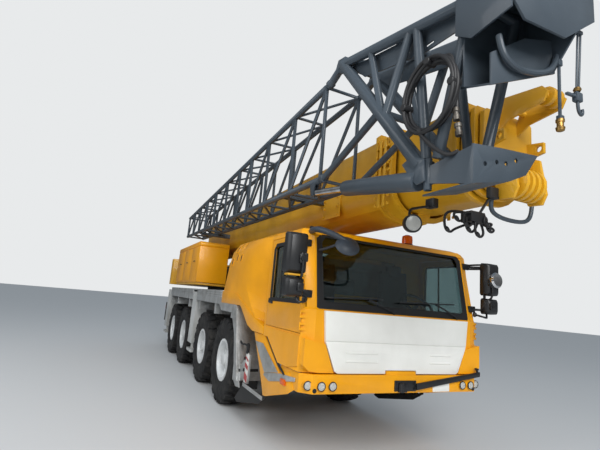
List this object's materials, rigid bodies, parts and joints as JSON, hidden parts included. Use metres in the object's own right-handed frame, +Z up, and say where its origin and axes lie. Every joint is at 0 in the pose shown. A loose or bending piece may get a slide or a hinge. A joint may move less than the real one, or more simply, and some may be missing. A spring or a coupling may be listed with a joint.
{
  "type": "mobile crane",
  "caption": "All-terrain mobile crane in travel position: telescopic boom over the driver's cab, slewing superstructure, outriggers and a side-stowed lattice jib.",
  "frame": {"origin": "centre of the footprint, on the ground", "axes": "+Z up, -Y to the front, +X to the vehicle's left"},
  "size_m": [3.136, 12.894, 4.47],
  "materials": {
    "tyre": "matt moulded rubber",
    "wheel_silver": "satin silver paint",
    "axle_grey": "satin dark grey paint",
    "cab_yellow": "gloss orange-yellow paint",
    "boom_yellow": "weathered ochre-yellow paint",
    "panel_white": "gloss off-white paint",
    "deck_aluminium": "weathered mill-finish sheet",
    "glass": "clear tinted safety glass",
    "black_plastic": "moulded, satin",
    "interior": "moulded and padded trim",
    "jib_slate": "dusty slate-grey paint",
    "chrome": "polished hard-chrome rod",
    "engine_grey": "painted castings"
  },
  "bodies": {
    "carrier": {"chassis": "cab_yellow", "suspension": "axle_grey", "cab_shell": "cab_yellow", "cab_glass": "glass", "cab_interior": "interior", "front_panel": "panel_white", "bumper": "cab_yellow", "mudguards": "deck_aluminium", "engine_covers": "cab_yellow", "engine": "engine_grey", "mirrors": "black_plastic"},
    "knuckle_1_right": {"steering_knuckle_1_right": "axle_grey"},
    "wheel_1_right": {"tyre_1_right": "tyre", "wheel_rim_1_right": "wheel_silver"},
    "knuckle_1_left": {"steering_knuckle_1_left": "axle_grey"},
    "wheel_1_left": {"tyre_1_left": "tyre", "wheel_rim_1_left": "wheel_silver"},
    "knuckle_2_right": {"steering_knuckle_2_right": "axle_grey"},
    "wheel_2_right": {"tyre_2_right": "tyre", "wheel_rim_2_right": "wheel_silver"},
    "knuckle_2_left": {"steering_knuckle_2_left": "axle_grey"},
    "wheel_2_left": {"tyre_2_left": "tyre", "wheel_rim_2_left": "wheel_silver"},
    "wheel_3_right": {"tyre_3_right": "tyre", "wheel_rim_3_right": "wheel_silver"},
    "wheel_3_left": {"tyre_3_left": "tyre", "wheel_rim_3_left": "wheel_silver"},
    "wheel_4_right": {"tyre_4_right": "tyre", "wheel_rim_4_right": "wheel_silver"},
    "wheel_4_left": {"tyre_4_left": "tyre", "wheel_rim_4_left": "wheel_silver"},
    "door_right": {"cab_door_right": "cab_yellow", "cab_door_glass_right": "glass"},
    "door_left": {"cab_door_left": "cab_yellow", "cab_door_glass_left": "glass"},
    "beam_front_right": {"outrigger_beam_front_right": "deck_aluminium"},
    "jack_front_right": {"outrigger_jack_front_right": "deck_aluminium"},
    "beam_front_left": {"outrigger_beam_front_left": "deck_aluminium"},
    "jack_front_left": {"outrigger_jack_front_left": "deck_aluminium"},
    "beam_rear_right": {"outrigger_beam_rear_right": "deck_aluminium"},
    "jack_rear_right": {"outrigger_jack_rear_right": "deck_aluminium"},
    "beam_rear_left": {"outrigger_beam_rear_left": "deck_aluminium"},
    "jack_rear_left": {"outrigger_jack_rear_left": "deck_aluminium"},
    "superstructure": {"superstructure_frame": "cab_yellow", "superstructure_hood": "cab_yellow", "counterweight": "cab_yellow", "operator_cab": "cab_yellow", "operator_glass": "glass"},
    "operator_door": {"operator_door": "cab_yellow"},
    "hoist_drum": {"hoist_drum": "boom_yellow"},
    "boom": {"boom_base": "boom_yellow", "jib_lattice": "jib_slate", "jib_head": "jib_slate"},
    "luff_barrel": {"luff_barrel": "cab_yellow"},
    "luff_rod": {"luff_rod": "chrome"},
    "boom_section_1": {"boom_section_1": "boom_yellow"},
    "boom_section_2": {"boom_section_2": "boom_yellow"},
    "boom_section_3": {"boom_section_3": "boom_yellow"},
    "boom_section_4": {"boom_section_4": "boom_yellow"}
  },
  "joints": [
    {"name": "steer_1_right", "type": "hinge", "parent": "carrier", "child": "knuckle_1_right", "pos_m": [-0.96, -0.98, 0.685], "axis": [0, 0, 1], "range_deg": [-28, 28]},
    {"name": "roll_1_right", "type": "hinge", "parent": "knuckle_1_right", "child": "wheel_1_right", "pos_m": [-1.0875, -0.98, 0.685], "axis": [1, 0, 0], "continuous": true},
    {"name": "steer_1_left", "type": "hinge", "parent": "carrier", "child": "knuckle_1_left", "pos_m": [0.96, -0.98, 0.685], "axis": [0, 0, 1], "range_deg": [-28, 28]},
    {"name": "roll_1_left", "type": "hinge", "parent": "knuckle_1_left", "child": "wheel_1_left", "pos_m": [1.0875, -0.98, 0.685], "axis": [1, 0, 0], "continuous": true},
    {"name": "steer_2_right", "type": "hinge", "parent": "carrier", "child": "knuckle_2_right", "pos_m": [-0.96, 0.67, 0.685], "axis": [0, 0, 1], "range_deg": [-20, 20]},
    {"name": "roll_2_right", "type": "hinge", "parent": "knuckle_2_right", "child": "wheel_2_right", "pos_m": [-1.0875, 0.67, 0.685], "axis": [1, 0, 0], "continuous": true},
    {"name": "steer_2_left", "type": "hinge", "parent": "carrier", "child": "knuckle_2_left", "pos_m": [0.96, 0.67, 0.685], "axis": [0, 0, 1], "range_deg": [-20, 20]},
    {"name": "roll_2_left", "type": "hinge", "parent": "knuckle_2_left", "child": "wheel_2_left", "pos_m": [1.0875, 0.67, 0.685], "axis": [1, 0, 0], "continuous": true},
    {"name": "roll_3_right", "type": "hinge", "parent": "carrier", "child": "wheel_3_right", "pos_m": [-1.0875, 2.85, 0.685], "axis": [1, 0, 0], "continuous": true},
    {"name": "roll_3_left", "type": "hinge", "parent": "carrier", "child": "wheel_3_left", "pos_m": [1.0875, 2.85, 0.685], "axis": [1, 0, 0], "continuous": true},
    {"name": "roll_4_right", "type": "hinge", "parent": "carrier", "child": "wheel_4_right", "pos_m": [-1.0875, 4.5, 0.685], "axis": [1, 0, 0], "continuous": true},
    {"name": "roll_4_left", "type": "hinge", "parent": "carrier", "child": "wheel_4_left", "pos_m": [1.0875, 4.5, 0.685], "axis": [1, 0, 0], "continuous": true},
    {"name": "door_swing_right", "type": "hinge", "parent": "carrier", "child": "door_right", "pos_m": [-1.287, -3.923, 1.975], "axis": [0, 0, 1], "range_deg": [0, 70]},
    {"name": "door_swing_left", "type": "hinge", "parent": "carrier", "child": "door_left", "pos_m": [1.287, -3.923, 1.975], "axis": [0, 0, -1], "range_deg": [0, 70]},
    {"name": "beam_out_front_right", "type": "slide", "parent": "carrier", "child": "beam_front_right", "axis": [-1, 0, 0], "range_m": [0, 1.45]},
    {"name": "jack_down_front_right", "type": "slide", "parent": "beam_front_right", "child": "jack_front_right", "axis": [0, 0, -1], "range_m": [0, 0.65]},
    {"name": "beam_out_front_left", "type": "slide", "parent": "carrier", "child": "beam_front_left", "axis": [1, 0, 0], "range_m": [0, 1.45]},
    {"name": "jack_down_front_left", "type": "slide", "parent": "beam_front_left", "child": "jack_front_left", "axis": [0, 0, -1], "range_m": [0, 0.65]},
    {"name": "beam_out_rear_right", "type": "slide", "parent": "carrier", "child": "beam_rear_right", "axis": [-1, 0, 0], "range_m": [0, 1.45]},
    {"name": "jack_down_rear_right", "type": "slide", "parent": "beam_rear_right", "child": "jack_rear_right", "axis": [0, 0, -1], "range_m": [0, 0.65]},
    {"name": "beam_out_rear_left", "type": "slide", "parent": "carrier", "child": "beam_rear_left", "axis": [1, 0, 0], "range_m": [0, 1.45]},
    {"name": "jack_down_rear_left", "type": "slide", "parent": "beam_rear_left", "child": "jack_rear_left", "axis": [0, 0, -1], "range_m": [0, 0.65]},
    {"name": "slew", "type": "hinge", "parent": "carrier", "child": "superstructure", "pos_m": [0, 3.3, 1.93], "axis": [0, 0, 1], "continuous": true},
    {"name": "operator_door_swing", "type": "hinge", "parent": "superstructure", "child": "operator_door", "pos_m": [1.287, 1.927, 2.7], "axis": [0, 0, -1], "range_deg": [0, 100]},
    {"name": "hoist_turn", "type": "hinge", "parent": "superstructure", "child": "hoist_drum", "pos_m": [0, 5.57, 2.39], "axis": [1, 0, 0], "continuous": true},
    {"name": "luff", "type": "hinge", "parent": "superstructure", "child": "boom", "pos_m": [0, 4.65, 3.05], "axis": [-1, 0, 0], "range_deg": [0, 82]},
    {"name": "luff_cylinder_swing", "type": "hinge", "parent": "superstructure", "child": "luff_barrel", "pos_m": [0, 3.25, 2.15], "axis": [-1, 0, 0], "range_deg": [0, 84.46]},
    {"name": "luff_cylinder_stroke", "type": "slide", "parent": "luff_barrel", "child": "luff_rod", "axis": [0, -0.9836, 0.1803], "range_m": [0, 2.1781]},
    {"name": "telescope_1", "type": "slide", "parent": "boom", "child": "boom_section_1", "axis": [0, -1, 0], "range_m": [0, 8]},
    {"name": "telescope_2", "type": "slide", "parent": "boom_section_1", "child": "boom_section_2", "axis": [0, -1, 0], "range_m": [0, 8]},
    {"name": "telescope_3", "type": "slide", "parent": "boom_section_2", "child": "boom_section_3", "axis": [0, -1, 0], "range_m": [0, 8]},
    {"name": "telescope_4", "type": "slide", "parent": "boom_section_3", "child": "boom_section_4", "axis": [0, -1, 0], "range_m": [0, 8]}
  ],
  "couplings": [
    {"joint": "steer_1_left", "follows": "steer_1_right", "ratio": 1},
    {"joint": "steer_2_right", "follows": "steer_1_right", "ratio": 0.7},
    {"joint": "steer_2_left", "follows": "steer_1_right", "ratio": 0.7},
    {"joint": "luff_cylinder_swing", "follows": "luff", "ratio": 1.0299},
    {"joint": "luff_cylinder_stroke", "follows": "luff", "m_per_rad": 1.5212},
    {"joint": "telescope_2", "follows": "telescope_1", "ratio": 1},
    {"joint": "telescope_3", "follows": "telescope_1", "ratio": 1},
    {"joint": "telescope_4", "follows": "telescope_1", "ratio": 1}
  ]
}
